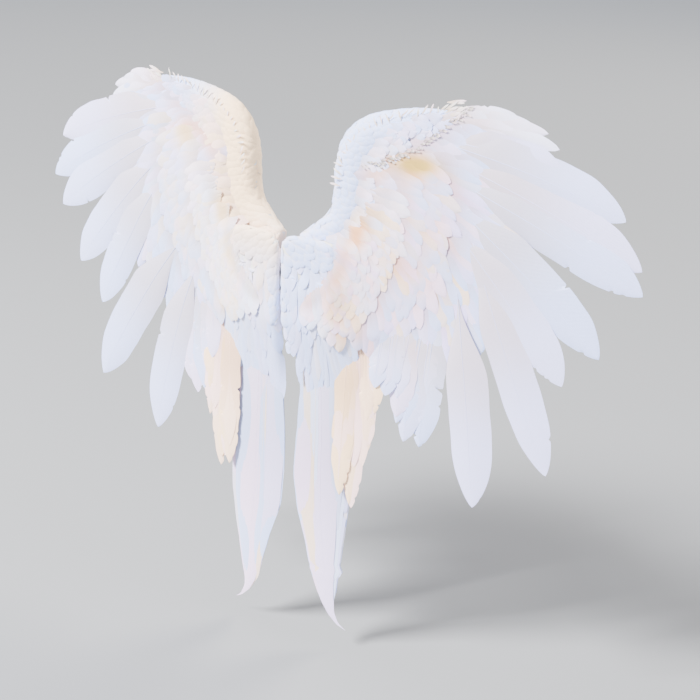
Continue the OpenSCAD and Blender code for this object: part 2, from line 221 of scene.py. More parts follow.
def cad_feathers(node, wing):
    """Each CAD feather of a node as its base, tip, width and layer, from its outline."""
    found = []
    for part in loose_parts(node):
        points = wing.to_wing(part)
        plan = np.unique(np.round(points[:, :2], 5), axis=0)
        gaps = np.linalg.norm(plan[:, None] - plan[None], axis=2)
        a, b = np.unravel_index(gaps.argmax(), gaps.shape)
        near = gaps + np.eye(len(plan))
        if near[a].min() > near[b].min():
            a, b = b, a
        base = (plan[a] + plan[near[a].argmin()]) / 2
        tip = plan[b]
        along = (tip - base) / np.linalg.norm(tip - base)
        aside = (plan - base) @ np.array((-along[1], along[0]))
        found.append({
            "base": base, "tip": tip, "width": aside.max() - aside.min(),
            "bow": (aside.max() + aside.min()) / 2,
            "layer": round((points[:, 2].min() - FIRST_LAYER) / LAYER_PITCH),
        })
    return found


def bearing(feather):
    way = feather["tip"] - feather["base"]
    return math.atan2(way[1], way[0])


def mixed(a, b, t):
    """A feather part of the way from a to b."""
    return {key: a[key] + (b[key] - a[key]) * t for key in ("base", "tip", "width", "bow")}


def cad_rows(node, wing):
    """The CAD feathers of a node as courses, outermost first, each ordered from top to bottom."""
    rows = {}
    for feather in cad_feathers(node, wing):
        rows.setdefault(abs(feather["layer"]) // 2, []).append(feather)
    return [sorted(rows[key], key=bearing, reverse=True) for key in sorted(rows)]


def resampled(row, count):
    """A course with another number of feathers."""
    made = []
    for place in np.linspace(0, len(row) - 1, count):
        i = min(int(place), len(row) - 2)
        made.append(mixed(row[i], row[i + 1], place - i))
    return made


# ---- feather meshes ----


def profile(root, wide_from, wide_at, tip_from, power, roundness):
    """How wide a kind of feather is along its length, as a share of its widest."""
    def share(x):
        tip = np.clip((x - tip_from) / (1 - tip_from), 0, 1)
        body = root + (1 - root) * smooth(wide_from, wide_at, x)
        return body * np.clip(1 - tip**power, 0, 1) ** roundness
    return share


flight_profile = profile(0.05, 0.04, 0.32, 0.60, 2.5, 0.78)
covert_profile = profile(0.25, 0.0, 0.4, 0.5, 2.2, 0.65)
scale_profile = profile(0.75, 0.0, 0.4, 0.45, 2.1, 0.6)
strand_profile = profile(0.3, 0.0, 0.12, 0.82, 2.0, 0.65)


class Plumage:
    """Collects feathers in wing space and turns them into one mesh."""

    def __init__(self):
        self.points, self.faces, self.colours, self.barbs, self.rims = [], [], [], [], []
        self.count = 0

    def keep(self, points, faces, colours, barbs, rims):
        self.points.append(points)
        self.faces.extend(corners + self.count for corners in faces)
        self.colours.append(colours)
        self.barbs.append(barbs)
        self.rims.append(rims)
        self.count += len(points)

    def add_grid(self, grid, thickness, colour, barb):
        """A closed thin leaf: a top and a bottom sheet that share their rim."""
        rows, cols = grid.shape[:2]
        top = np.arange(rows * cols).reshape(rows, cols)
        inner = np.zeros((rows, cols), bool)
        inner[1:-1, 1:-1] = True
        bottom = top.copy()
        bottom[inner] = rows * cols + np.arange(inner.sum())
        under = grid[inner] - np.array((0, 0, thickness))
        quads = [
            np.stack([sheet[:-1, :-1], sheet[1:, :-1], sheet[1:, 1:], sheet[:-1, 1:]], -1)
            .reshape(-1, 4)[:, order if thickness > 0 else order[::-1]]
            for sheet, order in ((top, [0, 1, 2, 3]), (bottom, [3, 2, 1, 0]))
        ]
        self.keep(np.concatenate([grid.reshape(-1, 3), under]), [np.concatenate(quads)],
                  np.concatenate([colour.reshape(-1, 3), colour[inner]]),
                  np.concatenate([barb.reshape(-1), barb[inner]]),
                  np.concatenate([~inner.reshape(-1), np.zeros(inner.sum(), bool)]))

    def add_leaf(self, grid, thickness, colour, barb, normal):
        """A leaf on a curved surface: its underside lies inwards along the normal."""
        before = self.count
        self.add_grid(grid, thickness, colour, barb)
        rows, cols = grid.shape[:2]
        under = self.points[-1][rows * cols:]
        under += np.array((0, 0, thickness)) - thickness * normal
        along_it = grid[-1, cols // 2] - grid[0, cols // 2]
        across_it = grid[rows // 2, -1] - grid[rows // 2, 0]
        if np.cross(along_it, across_it) @ normal < 0:
            self.faces[-1] = before + (self.faces[-1] - before)[:, ::-1]

    def add_tube(self, line, radii, colour, sides=6):
        """A closed tapering shaft along a line of points."""
        way = unit(np.gradient(line, axis=0))
        side = np.cross(way, (0, 0, 1.0))
        side /= np.maximum(np.linalg.norm(side, axis=1, keepdims=True), 1e-9)
        over = np.cross(side, way)
        turn = 2 * np.pi * np.arange(sides) / sides
        rings = (line[:, None] + radii[:, None, None]
                 * (side[:, None] * np.cos(turn)[None, :, None]
                    + over[:, None] * np.sin(turn)[None, :, None]))
        count = len(line)
        index = np.arange(count * sides).reshape(count, sides)
        following = np.roll(index, -1, axis=1)
        walls = np.stack([index[:-1], index[1:], following[1:], following[:-1]], -1).reshape(-1, 4)
        ends = count * sides + np.arange(2)
        points = np.concatenate([rings.reshape(-1, 3), line[[0, -1]]])
        first = np.stack([index[0], following[0], np.full(sides, ends[0])], -1)
        last = np.stack([following[-1], index[-1], np.full(sides, ends[1])], -1)
        self.keep(points, [walls, first, last], np.tile(colour, (len(points), 1)),
                  np.zeros(len(points)), np.zeros(len(points), bool))

    def build(self, name, wing):
        points = wing.to_row(np.concatenate(self.points))
        mesh = bpy.data.meshes.new(name)
        corners = np.concatenate([f[:, ::wing.sign].reshape(-1) for f in self.faces])
        sizes = np.concatenate([np.full(len(f), f.shape[1]) for f in self.faces])
        mesh.vertices.add(len(points))
        mesh.vertices.foreach_set("co", points.reshape(-1))
        mesh.loops.add(len(corners))
        mesh.loops.foreach_set("vertex_index", corners.astype(np.int32))
        mesh.polygons.add(len(sizes))
        mesh.polygons.foreach_set("loop_start", np.cumsum(sizes) - sizes)
        mesh.polygons.foreach_set("use_smooth", np.ones(len(sizes), bool))
        mesh.update(calc_edges=True)
        colours = np.concatenate(self.colours)
        shade = mesh.attributes.new("shade", "FLOAT_COLOR", "POINT")
        shade.data.foreach_set("color", np.column_stack([colours, np.ones(len(colours))]).reshape(-1))
        barb = mesh.attributes.new("barb", "FLOAT", "POINT")
        barb.data.foreach_set("value", np.concatenate(self.barbs))
        ends = read(mesh.edges, "vertices", 2, np.int32)
        sharp = mesh.attributes.new("sharp_edge", "BOOLEAN", "EDGE")
        sharp.data.foreach_set("value", np.concatenate(self.rims)[ends].all(axis=1))
        mesh.materials.append(FEATHER)
        piece = added(name, mesh)
        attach(piece, wing.body)
        return piece


def torn(x, side_seed, amount):
    """How far in the edge of a vane comes at each place along it: a few splits and a soft wobble."""
    rng = np.random.default_rng(side_seed)
    edge = np.ones_like(x)
    for _ in range(rng.poisson(2.2 * amount)):
        place, width = rng.uniform(0.4, 0.98), rng.uniform(0.008, 0.016)
        gap = np.clip(1 - np.abs(x - place) / width, 0, 1)
        edge -= rng.uniform(0.15, 0.55) * gap * min(amount, 1)
    for k in range(3, 7):
        edge += 0.012 * amount * np.sin(2 * np.pi * k * x + rng.uniform(0, 6.28))
    return np.clip(edge, 0.3, 1.06)


# Where the warm tints lie on the rear, as (u, v, reach across, reach along, strength)
OCHRE_SPOTS = [(0.252, 0.160, 0.046, 0.017, 1.2), (0.120, -0.100, 0.022, 0.030, 0.5),
               (0.155, 0.060, 0.025, 0.02, 0.35)]
WARM_SPOTS = [(0.232, 0.150, 0.08, 0.04, 1.0), (0.118, -0.105, 0.03, 0.06, 1.0),
              (0.150, 0.02, 0.03, 0.07, 0.8), (0.16, -0.2, 0.05, 0.1, 0.6),
              (0.30, 0.06, 0.08, 0.06, 0.5), (0.24, -0.03, 0.07, 0.08, 0.7)]


def spots(places, u, v):
    return sum(power * np.exp(-(((u - a) / across) ** 2) - ((v - b) / down) ** 2)
               for a, b, across, down, power in places)


def warmth(u, v):
    """How warm the feathers are tinted at a place, with soft patches."""
    field = spots(WARM_SPOTS, u, v)
    patches = 0.5 + 0.5 * np.sin(61 * u + 17 * v + 1.7) * np.sin(47 * v - 23 * u)
    return np.clip(field * (0.55 + 0.75 * patches), 0, 1)


def strip(base, tip, width, bow=0.0):
    return {"base": base, "tip": tip, "width": width, "bow": bow}


def middle_line(shape):
    """Points along the middle of a feather, from its base to its tip."""
    if "line" in shape:
        return shape["line"]
    share = np.linspace(0, 1, 24)
    along = shape["tip"] - shape["base"]
    across = np.array((-along[1], along[0])) / np.linalg.norm(along)
    bow = shape["bow"] * 4 * share * (1 - share)
    return shape["base"] + share[:, None] * along + bow[:, None] * across


def feather(plumage, shape, rng, kind, lift=(0.0, 0.004), surface=rear_surface, face=1):
    """One feather, draped over a surface and lifted towards its tip."""
    line = middle_line(shape)
    reach = course(line)
    length = reach[-1]
    way = unit(np.gradient(line, axis=0))
    normal = np.stack([-way[:, 1], way[:, 0]], 1)
    rows, cols = kind["grid"]
    x = np.linspace(0, 1, rows) ** 0.9
    t = np.linspace(-1, 1, cols)[None]
    if "halves" in shape:
        half = np.interp(x, np.linspace(0, 1, len(line)), shape["halves"])
    else:
        half = shape["width"] / 2
    half = (half * kind["profile"](x))[:, None]
    seed = int(rng.integers(1 << 30))
    outer, inner = (torn(x, seed + k, kind["torn"])[:, None] for k in (0, 1))
    x = x[:, None]
    edges = np.where(t > 0, outer, inner)
    edges = 1 + (edges - 1) * np.abs(t) ** 2
    aside = t * half * edges * (1 + kind["uneven"] * t)
    slant = kind["slant"] * half * np.abs(t) ** 1.2 * (1 - x ** 2)
    s = np.minimum(x * length + slant, length)
    share = s / length
    middle, out = (np.stack([np.interp(s, reach, array[:, k]) for k in (0, 1)], -1)
                   for array in (line, normal))
    plan = middle + aside[..., None] * out
    u, v = plan[..., 0], plan[..., 1]
    camber = kind["camber"] * half * (1 - t ** 2)
    ridge = kind["ridge"] * np.exp(-((t / 0.12) ** 2)) * (1 - x)
    wave = 0.0006 * np.sin(share * rng.uniform(6, 14) + rng.uniform(0, 6.28)) * np.abs(t)
    roll = kind["roll"] * aside
    curl = kind["curl"] * length * np.clip(share - 0.5, 0, 1) ** 2
    raised = lift[0] + (lift[1] - lift[0]) * share
    depth = surface(u, v) + face * (raised + camber + ridge + wave + roll + curl)
    grid = np.concatenate([plan, depth[..., None]], -1)
    # Towards its base, where the feathers above cover it, each feather goes over to its root tone. Cream
    # and peach root tones here are painted shade; the plume and root feathers go over to a paler white
    # instead. The warm spots blend towards the same root tone.
    warm = (1 - smooth(*kind["warm_to"], share))[..., None] * kind["warm"]
    tone = np.array(kind["tone"]) * (1 + rng.uniform(-0.035, 0.015))
    tone = blend(tone, kind["drift"], rng.uniform(0, kind["drift_by"]))
    if face > 0:
        spot = warmth(u, v) * (1.15 - 0.75 * smooth(0.35, 0.95, share))
        warm = np.maximum(warm, kind["spots"] * spot[..., None])
    colour = blend(tone, kind["root_tone"], np.clip(warm, 0, 1))
    if face > 0 and kind["ochre"]:
        ochre = kind["ochre"] * np.clip(spots(OCHRE_SPOTS, u, v), 0, 1)[..., None]
        colour = blend(colour, OCHRE, ochre)
    colour = colour * (1 - kind["shadow"] * (1 - smooth(0.30, 0.80, share)))[..., None]
    plumage.add_grid(grid, face * kind["thick"], colour, s - 0.8 * np.abs(aside))
    if kind["shaft"]:
        sunk = np.array((0, 0, face * kind["shaft"] * 0.1))
        line = grid[: int(rows * 0.94), cols // 2] - sunk
        plumage.add_tube(line, kind["shaft"] * np.linspace(1, 0.25, len(line)), tone * 0.97)


def look(**changes):
    """The settings of one kind of feather."""
    settings = {
        "grid": (22, 9), "profile": covert_profile, "torn": 0.6, "uneven": 0.0, "slant": 0.55,
        "camber": 0.10, "ridge": 0.0003, "roll": 0.05, "curl": 0.0, "thick": 0.0004, "shaft": 0,
        "tone": WHITE, "root_tone": CREAM, "warm": 0.5, "warm_to": (0.2, 0.9), "drift": PINKISH,
        "drift_by": 0.5, "spots": 0.9, "shadow": 0.24, "ochre": 0.0,
    }
    settings.update(changes)
    return settings


FLIGHT = look(grid=(100, 13), profile=flight_profile, torn=0.5, uneven=0.1, slant=0.8, roll=0.03,
              curl=0.02, thick=0.0006, shaft=0.0007, tone=COOL, warm=0.35, warm_to=(0.25, 0.75),
              drift_by=0.3, spots=0.3)
SECONDARY = look(grid=(60, 11), profile=flight_profile, torn=1.6, uneven=0.1, slant=0.7, shaft=0.0008,
                 tone=COOL, warm=0.4, spots=0.4)
TERTIAL = look(grid=(60, 11), profile=flight_profile, torn=2.2, slant=0.7, shaft=0.0007, tone=CREAM,
               root_tone=PEACH, warm=0.3, drift_by=0.6, spots=0.2)
GREATER = look(tone=COOL, root_tone=PEACH, warm=0.30, warm_to=(0.3, 0.8), grid=(26, 9))
MEDIAN = look(tone=COOL, root_tone=PEACH, warm=0.35, warm_to=(0.3, 0.8))
LESSER = look(root_tone=PEACH, warm=0.35, warm_to=(0.2, 0.8), grid=(18, 7))
PLUME = look(grid=(90, 9), profile=strand_profile, torn=0.5, slant=0.6, roll=0.06, thick=0.0005,
             shaft=0.0006, tone=COOL, root_tone=WHITE, warm=0.4, warm_to=(0.0, 0.5), spots=0.1)
MARGINAL = look(warm=0.3, grid=(14, 7), thick=0.0003, profile=scale_profile, ridge=0.0)
ROOT = look(root_tone=WHITE, warm=0.3, grid=(24, 7), thick=0.0003, profile=flight_profile,
            ridge=0.0, shadow=0.06)
TUFT = look(tone=(0.86, 0.82, 0.76), grid=(7, 3), torn=0.0, thick=0.0003, camber=0.2, ridge=0.0)
# Small dark grey-brown tufts: their dark colour is partly feather bases and partly painted shadow
DARK_TUFT = look(tone=(0.62, 0.57, 0.52), root_tone=(0.33, 0.28, 0.24), warm=0.8, grid=(6, 3), torn=0.0,
                 thick=0.0003, camber=0.2, ridge=0.0)
TINY = look(warm=0.3, grid=(7, 5), thick=0.0003, camber=0.16)


# ---- materials ----


class Paint:
    """A material and its nodes, with short ways to add nodes, settings and links."""

    def __init__(self, name, **inputs):
        self.material = bpy.data.materials.new(name)
        self.material.use_nodes = True
        self.nodes = self.material.node_tree.nodes
        self.shader = self.nodes["Principled BSDF"]
        self.put(self.shader, inputs)

    def put(self, node, inputs):
        for label, value in inputs.items():
            node.inputs[label.replace("_", " ")].default_value = value

    def node(self, kind, settings=None, **inputs):
        node = self.nodes.new("ShaderNode" + kind)
        for label, value in (settings or {}).items():
            setattr(node, label, value)
        self.put(node, inputs)
        return node

    def link(self, source, output, node, label):
        self.material.node_tree.links.new(source.outputs[output], node.inputs[label])

    def pattern(self, kind, settings=None, **inputs):
        """A texture laid out in the object's own space."""
        texture = self.node(kind, settings, **inputs)
        self.link(self.node("TexCoord"), "Object", texture, "Vector")
        return texture

    def ramp(self, source, output, low, high, settings=None, **inputs):
        ramp = self.node("MapRange", settings, To_Min=low, To_Max=high, **inputs)
        self.link(source, output, ramp, "Value")
        return ramp

    def tint(self, source, output, dark, light):
        """The base colour, between two colours as an output goes from 0 to 1."""
        mix = self.node("Mix", {"data_type": "RGBA"}, A=(*dark, 1), B=(*light, 1))
        self.link(source, output, mix, "Factor")
        self.link(mix, "Result", self.shader, "Base Color")

    def bump(self, source, output, strength, distance):
        bump = self.node("Bump", Strength=strength, Distance=distance)
        self.link(source, output, bump, "Height")
        self.link(bump, "Normal", self.shader, "Normal")


def darker(colour, share):
    return [channel * share for channel in colour]


def feather_material():
    """The colour painted on each feather, and fine barbs that run out from its shaft."""
    paint = Paint("feather", Roughness=0.72, Sheen_Weight=0.25, Sheen_Roughness=0.5,
                  Specular_IOR_Level=0.3)
    shade = paint.node("Attribute", {"attribute_name": "shade"})
    noise = paint.node("TexNoise", Scale=40, Detail=4)
    ramp = paint.ramp(noise, "Fac", 0.93, 1.04)
    scale = paint.node("VectorMath", {"operation": "SCALE"})
    paint.link(shade, "Color", scale, 0)
    paint.link(ramp, "Result", scale, "Scale")
    paint.link(scale, "Vector", paint.shader, "Base Color")
    barb = paint.node("Attribute", {"attribute_name": "barb"})
    position = paint.node("CombineXYZ")
    paint.link(barb, "Fac", position, "X")
    wave = paint.node("TexWave", Scale=110, Distortion=0.0)
    paint.link(position, "Vector", wave, "Vector")
    paint.bump(wave, "Fac", 0.25, 0.0005)
    return paint.material


def cloth_material(name, colour, scale, strength=0.4):
    paint = Paint(name, Roughness=0.85, Sheen_Weight=0.3)
    weave = paint.pattern("TexVoronoi", Scale=scale)
    noise = paint.pattern("TexNoise", Scale=60)
    paint.tint(noise, "Fac", darker(colour, 0.82), colour)
    paint.bump(weave, "Distance", strength, 0.0006)
    return paint.material


def webbing_material(name, colour):
    paint = Paint(name, Roughness=0.7, Sheen_Weight=0.2)
    ribs = paint.pattern("TexWave", {"wave_type": "BANDS", "bands_direction": "X"},
                         Scale=90, Distortion=0.6)
    paint.tint(ribs, "Fac", darker(colour, 0.5), colour)
    paint.bump(ribs, "Fac", 0.5, 0.0006)
    return paint.material


def hard_material(name, colour, metallic, roughness, grain):
    paint = Paint(name, Metallic=metallic)
    noise = paint.pattern("TexNoise", Scale=grain, Detail=6)
    ramp = paint.ramp(noise, "Fac", roughness * 0.8, roughness * 1.25)
    paint.link(ramp, "Result", paint.shader, "Roughness")
    paint.tint(noise, "Fac", darker(colour, 0.85), colour)
    paint.bump(noise, "Fac", 0.15, 0.0003)
    return paint.material


def floor_material():
    """Pale paint, paler far away: painted light that makes up for the lamps lighting the far floor less,
    so that the horizon shows less.
    """
    paint = Paint("floor_paint", Roughness=0.9)
    reach = paint.node("VectorMath", {"operation": "LENGTH"})
    paint.link(paint.node("TexCoord"), "Object", reach, 0)
    share = paint.ramp(reach, "Value", 0, 1, {"interpolation_type": "SMOOTHSTEP"},
                       From_Min=3.0, From_Max=16.0)
    # Painted light: the floor gets paler with distance, where the lamps reach less
    paint.tint(share, "Result", (0.20, 0.205, 0.215), (0.72, 0.73, 0.75))
    return paint.material


FEATHER = feather_material()
EDGE_CLOTH = cloth_material("edge_cloth", (0.84, 0.80, 0.76), 900)
LINING = cloth_material("lining_cloth", (0.78, 0.74, 0.68), 700)
PAD_CLOTH = cloth_material("pad_mesh", (0.72, 0.69, 0.64), 500, 0.8)
WEBBING = webbing_material("webbing", (0.74, 0.72, 0.68))
PLASTIC = hard_material("moulded_plastic", (0.74, 0.73, 0.70), 0.0, 0.55, 600)
ALUMINIUM = hard_material("satin_aluminium", (0.72, 0.73, 0.75), 1.0, 0.34, 250)
STEEL = hard_material("turned_steel", (0.56, 0.56, 0.58), 1.0, 0.28, 400)

CAD_MATERIALS = {
    "back_plate": PLASTIC, "strap_slider": PLASTIC, "back_pad": PAD_CLOTH, "shoulder_pad": PAD_CLOTH,
    "shoulder_strap": WEBBING, "bracket_bolts": STEEL, "bracket_nuts": STEEL, "hinge_pin": STEEL,
    "socket_screw": STEEL, "hinge_bracket": ALUMINIUM, "wing_socket": ALUMINIUM,
    "spar_rods": ALUMINIUM, "wing_core": LINING, "edge_roll": EDGE_CLOTH, "root_pad": EDGE_CLOTH,
}


def dress_cad_nodes():
    for name, node in frame["nodes"].items():
        kind = name.rsplit("_", 1)[0] if name.endswith(SIDES) else name
        dress(node, CAD_MATERIALS.get(kind, FEATHER))


# ---- padded shell of the leading edge and the root ----


def joined_copy(name, nodes):
    bpy.ops.object.select_all(action="DESELECT")
    copies = []
    for node in nodes:
        copy = added(name, frame["nodes"][node].data.copy())
        copy.select_set(True)
        copies.append(copy)
    bpy.context.view_layer.objects.active = copies[0]
    if len(copies) > 1:
        bpy.ops.object.join()
    copies[0].name = name
    return copies[0]


def apply_modifiers(piece):
    bpy.context.view_layer.update()
    evaluated = piece.evaluated_get(bpy.context.evaluated_depsgraph_get())
    mesh = bpy.data.meshes.new_from_object(evaluated)
    piece.modifiers.clear()
    piece.data = mesh


def remeshed(piece, voxel, smoothing):
    remesh = piece.modifiers.new("remesh", "REMESH")
    remesh.mode = "VOXEL"
    remesh.voxel_size = voxel
    remesh.use_smooth_shade = True
    relax = piece.modifiers.new("relax", "SMOOTH")
    relax.iterations = smoothing
    relax.factor = 0.5
    apply_modifiers(piece)
    return piece


def edge_shell(wing):
    piece = joined_copy("edge_shell_" + wing.side, ["edge_roll_" + wing.side, "root_pad_" + wing.side])
    remeshed(piece, 4 * MM, 10)
    places = wing.to_wing(mesh_points(piece))
    inner = (places[:, 1] < -0.004) & (places[:, 2] > 0.005)
    places[:, 0] -= 4.5 * MM * smooth(0.030, 0.006, places[:, 0]) * inner
    arm = np.hypot(places[:, 0] - HINGE_U, places[:, 2] - HINGE_D)
    far = (arm > EDGE_REACH) & (places[:, 0] < HINGE_U) & inner
    for axis, centre in ((0, HINGE_U), (2, HINGE_D)):
        pulled = centre + (places[:, axis] - centre) * EDGE_REACH / np.maximum(arm, 1e-6)
        places[far, axis] = pulled[far]
    set_mesh_points(piece, wing.to_row(places))
    dress(piece, EDGE_CLOTH)
    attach(piece, wing.body)
    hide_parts("edge_roll_" + wing.side, "root_pad_" + wing.side)
    return piece


class Relief:
    """The height of the rear side over the wing plane: the padded shell and the dome, smoothed."""

    def __init__(self, wing, shell):
        self.wing, self.step, self.low = wing, 4 * MM, np.array((-0.04, -0.32))
        self.shape = (130, 152)
        self.tree = BVHTree.FromObject(shell, bpy.context.evaluated_depsgraph_get())
        u, v = (self.low[k] + self.step * np.arange(self.shape[k]) for k in (0, 1))
        plan = np.stack(np.meshgrid(u, v, indexing="ij"), -1)
        height = rear_surface(plan[..., 0], plan[..., 1])
        above = wing.to_row(np.concatenate([plan, np.full(self.shape + (1,), 0.1)], -1).reshape(-1, 3))
        down = Vector(-wing.d)
        falls = [self.tree.ray_cast(Vector(point), down, 0.11)[3] for point in above]
        self.shell_height = np.array([-1.0 if fall is None else 0.1 - fall for fall in falls])
        self.shell_height = self.shell_height.reshape(self.shape)
        self.height = np.maximum(height, self.shell_height + 0.001)
        for j in range(self.shape[1] - 2, -1, -1):
            self.height[:, j] = np.maximum(self.height[:, j], self.height[:, j + 1] - 0.17 * self.step)
        for i in range(1, self.shape[0]):
            self.height[i] = np.maximum(self.height[i], self.height[i - 1] - 0.2 * self.step)
        for _ in range(5):
            wide = np.pad(self.height, 1, mode="edge")
            self.height = (self.height + wide[:-2, 1:-1] + wide[2:, 1:-1] + wide[1:-1, :-2]
                           + wide[1:-1, 2:]) / 5
        inner = np.maximum(RELIEF_REACH**2 - (HINGE_U - plan[..., 0]) ** 2, 0)
        limit = np.where(plan[..., 0] < HINGE_U, HINGE_D + np.sqrt(inner), 1.0)
        self.height = np.minimum(self.height, limit)

    def gap_at(self, place):
        """How far the shell lies under the relief at a place."""
        i, j = ((place - self.low) / self.step).round().astype(int)
        under = self.shell_height[i, j]
        return max(self.height[i, j] - under, 0) if under > 0 else 0.0

    def __call__(self, u, v):
        place = [np.clip((np.asarray(value) - self.low[k]) / self.step, 0, self.shape[k] - 1.001)
                 for k, value in enumerate((u, v))]
        i, j = place[0].astype(int), place[1].astype(int)
        a, b = place[0] - i, place[1] - j
        near = (self.height[i, j] * (1 - a) * (1 - b) + self.height[i + 1, j] * a * (1 - b)
                + self.height[i, j + 1] * (1 - a) * b + self.height[i + 1, j + 1] * a * b)
        return np.maximum(near, 0.009)


def flow_angle(place):
    """Which way the small feathers point: down at the root and outwards at the wrist."""
    inner = np.interp(place[1], [-0.16, -0.08, -0.02, 0.06, 0.16, 0.24], [-86, -70, -40, -16, 0, 6])
    return math.radians(inner + 8 * math.sin(40 * place[1]))


def scattered(piece, gap, rng):
    """Places spread evenly over a mesh, each with its normal, no two closer than gap."""
    mesh = piece.data
    count = len(mesh.polygons)
    centres, normals = (read(mesh.polygons, field) for field in ("center", "normal"))
    cells, kept = {}, []
    for i in rng.permutation(count):
        key = tuple(np.floor(centres[i] / gap).astype(int))
        near = [cells.get((key[0] + a, key[1] + b, key[2] + c), ())
                for a in (-1, 0, 1) for b in (-1, 0, 1) for c in (-1, 0, 1)]
        if all(np.linalg.norm(centres[i] - centres[j]) > gap for group in near for j in group):
            cells.setdefault(key, []).append(i)
            kept.append(i)
    return centres[kept], normals[kept]


def surface_feather(plumage, relief, place, normal, way, length, width, rng, kind, lift=0.002):
    """A small feather that follows the curved surface of the shell."""
    wing = relief.wing
    rows, cols = kind["grid"]
    way = way - normal * (way @ normal)
    way /= max(np.linalg.norm(way), 1e-6)
    across = np.cross(normal, way)
    x, t = np.linspace(0, 1, rows)[:, None], np.linspace(-1, 1, cols)[None]
    half = width / 2 * kind["profile"](x)
    s = np.minimum(x * length + 0.4 * half * np.abs(t), length)
    aside = t * half
    flat = place + (s - 0.3 * length)[..., None] * way + aside[..., None] * across
    rise = 0.0004 + lift * (0.7 + 0.6 * rng.random()) * (s / length) ** 1.3
    rise = rise + kind["camber"] * half * (1 - t ** 2)
    grid = np.empty_like(flat)
    for index in np.ndindex(rows, cols):
        hit = relief.tree.find_nearest(Vector(wing.to_row(flat[index])))
        if hit[0] is None:
            return
        grid[index] = wing.to_wing(hit[0]) + (wing.basis @ np.array(hit[1])) * rise[index]
    tone = np.array(kind["tone"]) * (1 + rng.uniform(-0.03, 0.02))
    # Painted shade: towards the base, under the neighbouring feathers, the colour goes over to the root
    # tone
    warm = kind["warm"] * (1 - smooth(0.2, 0.9, s / length))[..., None]
    colour = blend(tone, kind["root_tone"], warm)
    plumage.add_leaf(grid, kind["thick"], colour, s - 0.8 * np.abs(aside), normal)


def edge_tone_and_shade(wing, u, v):
    """The tone of the padded edge: cool on the right wing. On the inner side of the left wing it goes over
    to cream, which is painted shade on the side turned away from the light.
    """
    if wing.right:
        return COOL
    # Painted shade: cream where the left wing's edge faces away from the light
    inner = smooth(0.25, 0.12, u) * smooth(-0.12, 0.06, v)
    return blend(COOL, CREAM, inner)


def edge_feathers(wing, shell, relief, rng):
    """The dense small feathers that cover the padded leading edge and the root."""
    plumage = Plumage()
    places, normals = scattered(shell, 8 * MM, rng)
    places = wing.to_wing(places)
    normals = normals @ wing.basis.T
    for place, normal in zip(places, normals):
        if place[1] < -0.03 and place[0] > 0.012 and normal[2] > 0.5:
            continue
        angle = flow_angle(place) + rng.uniform(-0.12, 0.12)
        way = np.append(heading(angle), 0.0)
        kind = dict(TINY, tone=edge_tone_and_shade(wing, place[0], place[1]))
        surface_feather(plumage, relief, place, normal, way, rng.uniform(28, 38) * MM,
                        rng.uniform(14, 18) * MM, rng, kind)
    piece = plumage.build("edge_feathers_" + wing.side, wing)
    return piece


# ---- the feathers of one wing ----


def flat(depth):
    return lambda u, v: np.full(np.shape(u), depth)


behind_core, before_core = flat(FIRST_LAYER), flat(FRONT_LAYER)


def single_feathers(wing, rng):
    """The eight flight feathers, each its own piece."""
    for number in range(1, 9):
        node = f"primary_{number}_{wing.side}"
        shape = cad_feathers(node, wing)[0]
        shape["width"] *= MIDDLE_FLIGHT_WIDER if number in MIDDLE_FLIGHT else FLIGHT_WIDER
        plumage = Plumage()
        feather(plumage, shape, rng, FLIGHT, (0.001 * number, 0.001 * number + 0.004), behind_core)
        piece = plumage.build(f"flight_feather_{number}_{wing.side}", wing)
        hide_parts(node)


def bundle(wing, rng, node, name, kind, extra, lift):
    """The CAD feathers of a loose bundle, and more between them."""
    shapes = sorted(cad_feathers(node + "_" + wing.side, wing), key=lambda f: f["layer"])
    plumage = Plumage()
    count = (len(shapes) - 1) * extra + 1
    for i, shape in enumerate(resampled(shapes, count)):
        share = i / max(count - 1, 1)
        between = i % extra != 0
        reach = 1 + rng.uniform(-0.16, 0.0) * between
        aside = np.array((rng.uniform(-0.008, 0.008), 0)) * between
        shape = dict(shape, tip=shape["base"] + (shape["tip"] - shape["base"]) * reach + aside,
                     width=shape["width"] * (1 - 0.25 * between))
        step = (lift[1] - lift[0]) * share
        feather(plumage, shape, rng, kind, (0.001 + 0.4 * step, lift[0] + step), behind_core)
    piece = plumage.build(f"{name}_feathers_{wing.side}", wing)
    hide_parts(node + "_" + wing.side)


def outline(node, wing, levels):
    """The inner and the outer edge of a node at each height, from its mesh edges."""
    piece = frame["nodes"][node]
    a, b = wing.to_wing(mesh_points(piece))[read(piece.data.edges, "vertices", 2, np.int32).T]
    edges = []
    for level in levels:
        with np.errstate(divide="ignore", invalid="ignore"):
            t = (level - a[:, 1]) / (b[:, 1] - a[:, 1])
        hit = (t >= 0) & (t <= 1)
        u = a[hit, 0] + t[hit] * (b[hit, 0] - a[hit, 0])
        edges.append((u.min(), u.max()))
    return np.array(edges)


